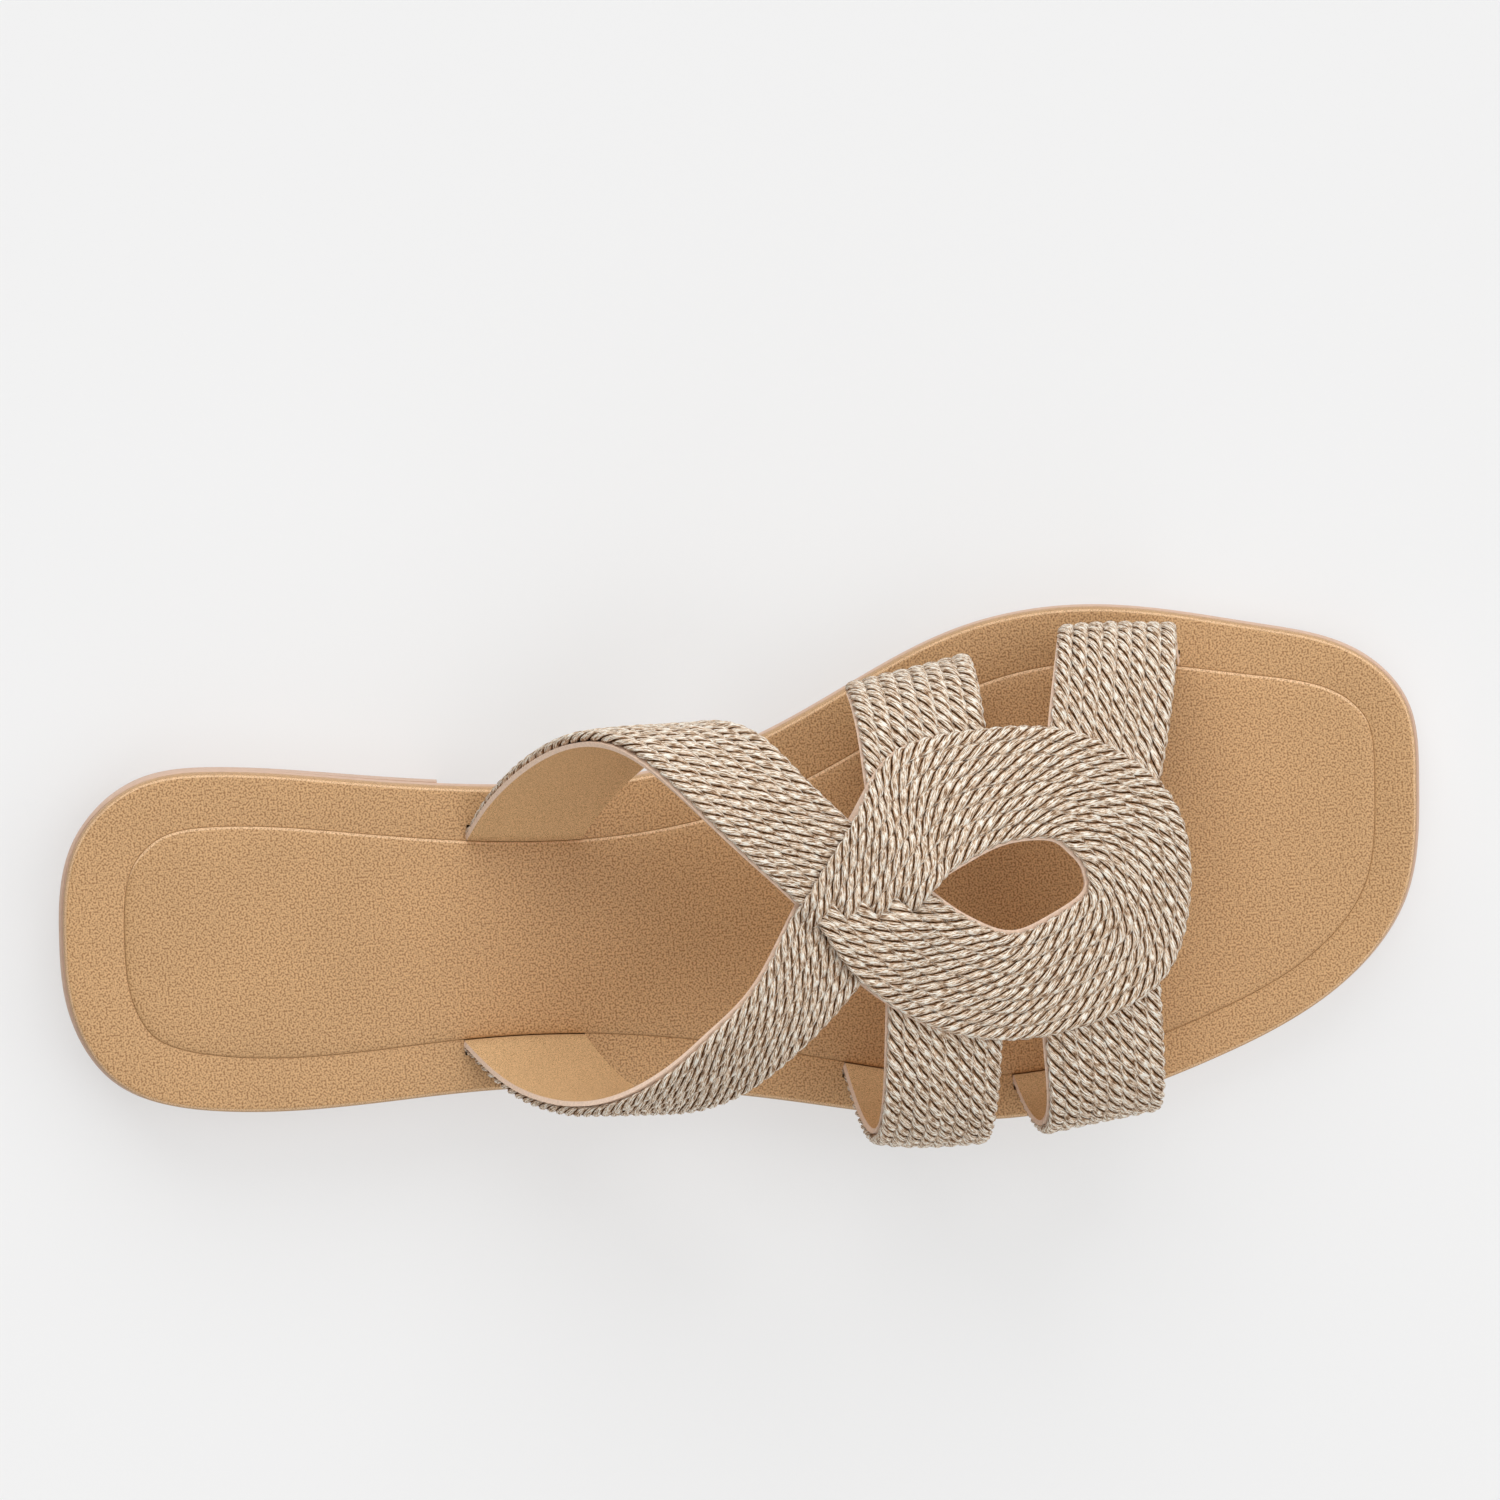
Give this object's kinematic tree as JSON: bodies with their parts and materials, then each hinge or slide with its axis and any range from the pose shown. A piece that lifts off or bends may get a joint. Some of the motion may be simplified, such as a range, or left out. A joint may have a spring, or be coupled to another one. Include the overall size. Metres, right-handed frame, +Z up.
{
  "type": "woven mule",
  "caption": "Flat slide sandal for the right foot: a looped band of twisted cords and side straps over a padded leatherette footbed with a low heel.",
  "frame": {"origin": "middle of the shoe's box, on the floor", "axes": "+X from heel to toe, +Y to the big-toe side, +Z up from the floor"},
  "size_m": [0.2566, 0.097, 0.0707],
  "materials": {
    "sole_rubber": "matte pinkish beige",
    "leatherette": "fine-grained tan, satin",
    "metallic_cord": "twisted cords with a soft pale-gold metallic shine"
  },
  "bodies": {
    "root": {"outsole": "sole_rubber", "heel": "sole_rubber", "footbed": "leatherette", "insole": "leatherette", "upper": "metallic_cord"}
  },
  "joints": []
}
